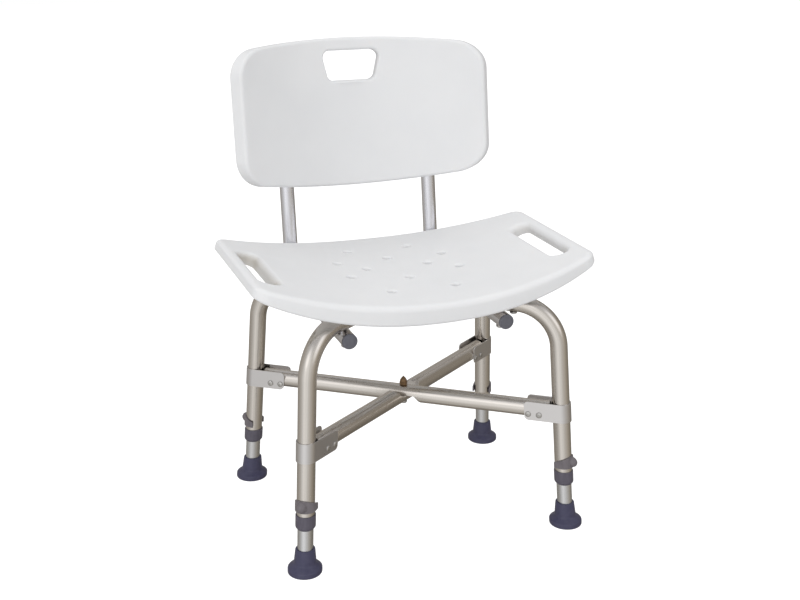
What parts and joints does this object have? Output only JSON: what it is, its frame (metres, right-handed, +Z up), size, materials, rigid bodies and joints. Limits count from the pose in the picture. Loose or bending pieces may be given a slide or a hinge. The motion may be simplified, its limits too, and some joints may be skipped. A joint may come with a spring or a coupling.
{
  "type": "bath bench",
  "caption": "Bath bench with a bowed moulded seat with hand slots, a curved backrest on bent tubes, crossed aluminium leg frames, brace bars and sliding height-locked feet.",
  "frame": {"origin": "on the ground, under the middle of the bench's outer box", "axes": "+Z up, the sitter faces -Y, +X to the right of someone who looks along +Y at the bench's front"},
  "size_m": [0.5028, 0.4478, 0.6753],
  "materials": {
    "white_plastic": "satin moulded white",
    "anodised_aluminium": "champagne anodised, satin",
    "bright_aluminium": "bright satin",
    "blue_grey_rubber": "matte dark blue-grey",
    "purple_grey_plastic": "satin dark purplish grey",
    "grey_plastic": "satin grey",
    "plated_steel": "zinc plated",
    "brown_brass": "dulled brown"
  },
  "bodies": {
    "frame": {"back_tube_bolt_bl": "plated_steel", "back_tube_bolt_br": "plated_steel", "back_tube_bolt_fl": "plated_steel", "back_tube_bolt_fr": "plated_steel", "back_tube_cap_left": "grey_plastic", "back_tube_cap_right": "grey_plastic", "back_tube_left": "bright_aluminium", "back_tube_nut_bl": "plated_steel", "back_tube_nut_br": "plated_steel", "back_tube_nut_fl": "plated_steel", "back_tube_nut_fr": "plated_steel", "back_tube_right": "bright_aluminium", "backrest_panel": "white_plastic", "backrest_screw_left_high": "plated_steel", "backrest_screw_left_low": "plated_steel", "backrest_screw_right_high": "plated_steel", "backrest_screw_right_low": "plated_steel", "brace_bar_lower": "anodised_aluminium", "brace_bar_upper": "anodised_aluminium", "brace_bolt": "plated_steel", "brace_bracket_bl": "bright_aluminium", "brace_bracket_br": "bright_aluminium", "brace_bracket_fl": "bright_aluminium", "brace_bracket_fr": "bright_aluminium", "brace_nut": "brown_brass", "bracket_rivet_bl_1": "plated_steel", "bracket_rivet_bl_2": "plated_steel", "bracket_rivet_br_1": "plated_steel", "bracket_rivet_br_2": "plated_steel", "bracket_rivet_fl_1": "plated_steel", "bracket_rivet_fl_2": "plated_steel", "bracket_rivet_fr_1": "plated_steel", "bracket_rivet_fr_2": "plated_steel", "frame_bolt": "plated_steel", "frame_nut": "plated_steel", "leg_collar_bl": "purple_grey_plastic", "leg_collar_br": "purple_grey_plastic", "leg_collar_fl": "purple_grey_plastic", "leg_collar_fr": "purple_grey_plastic", "leg_frame_lower": "anodised_aluminium", "leg_frame_upper": "anodised_aluminium", "seat": "white_plastic", "seat_screw_bl": "plated_steel", "seat_screw_br": "plated_steel", "seat_screw_fl": "plated_steel", "seat_screw_fr": "plated_steel"},
    "leg_fl": {"leg_extension_fl": "anodised_aluminium", "foot_tip_fl": "blue_grey_rubber"},
    "clip_fl": {"locking_clip_fl": "purple_grey_plastic"},
    "leg_fr": {"leg_extension_fr": "anodised_aluminium", "foot_tip_fr": "blue_grey_rubber"},
    "clip_fr": {"locking_clip_fr": "purple_grey_plastic"},
    "leg_bl": {"leg_extension_bl": "anodised_aluminium", "foot_tip_bl": "blue_grey_rubber"},
    "clip_bl": {"locking_clip_bl": "purple_grey_plastic"},
    "leg_br": {"leg_extension_br": "anodised_aluminium", "foot_tip_br": "blue_grey_rubber"},
    "clip_br": {"locking_clip_br": "purple_grey_plastic"}
  },
  "joints": [
    {"name": "leg_slide_fl", "type": "slide", "parent": "frame", "child": "leg_fl", "axis": [-0.0541, -0.069, -0.9961], "range_m": [0, 0.1016]},
    {"name": "clip_pull_fl", "type": "slide", "parent": "frame", "child": "clip_fl", "axis": [-0.6144, -0.7841, 0.0877], "range_m": [0, 0.008]},
    {"name": "leg_slide_fr", "type": "slide", "parent": "frame", "child": "leg_fr", "axis": [0.0541, -0.069, -0.9961], "range_m": [0, 0.1016]},
    {"name": "clip_pull_fr", "type": "slide", "parent": "frame", "child": "clip_fr", "axis": [0.6144, -0.7841, 0.0877], "range_m": [0, 0.008]},
    {"name": "leg_slide_bl", "type": "slide", "parent": "frame", "child": "leg_bl", "axis": [-0.0541, 0.069, -0.9961], "range_m": [0, 0.1016]},
    {"name": "clip_pull_bl", "type": "slide", "parent": "frame", "child": "clip_bl", "axis": [-0.6144, 0.7841, 0.0877], "range_m": [0, 0.008]},
    {"name": "leg_slide_br", "type": "slide", "parent": "frame", "child": "leg_br", "axis": [0.0541, 0.069, -0.9961], "range_m": [0, 0.1016]},
    {"name": "clip_pull_br", "type": "slide", "parent": "frame", "child": "clip_br", "axis": [0.6144, 0.7841, 0.0877], "range_m": [0, 0.008]}
  ]
}
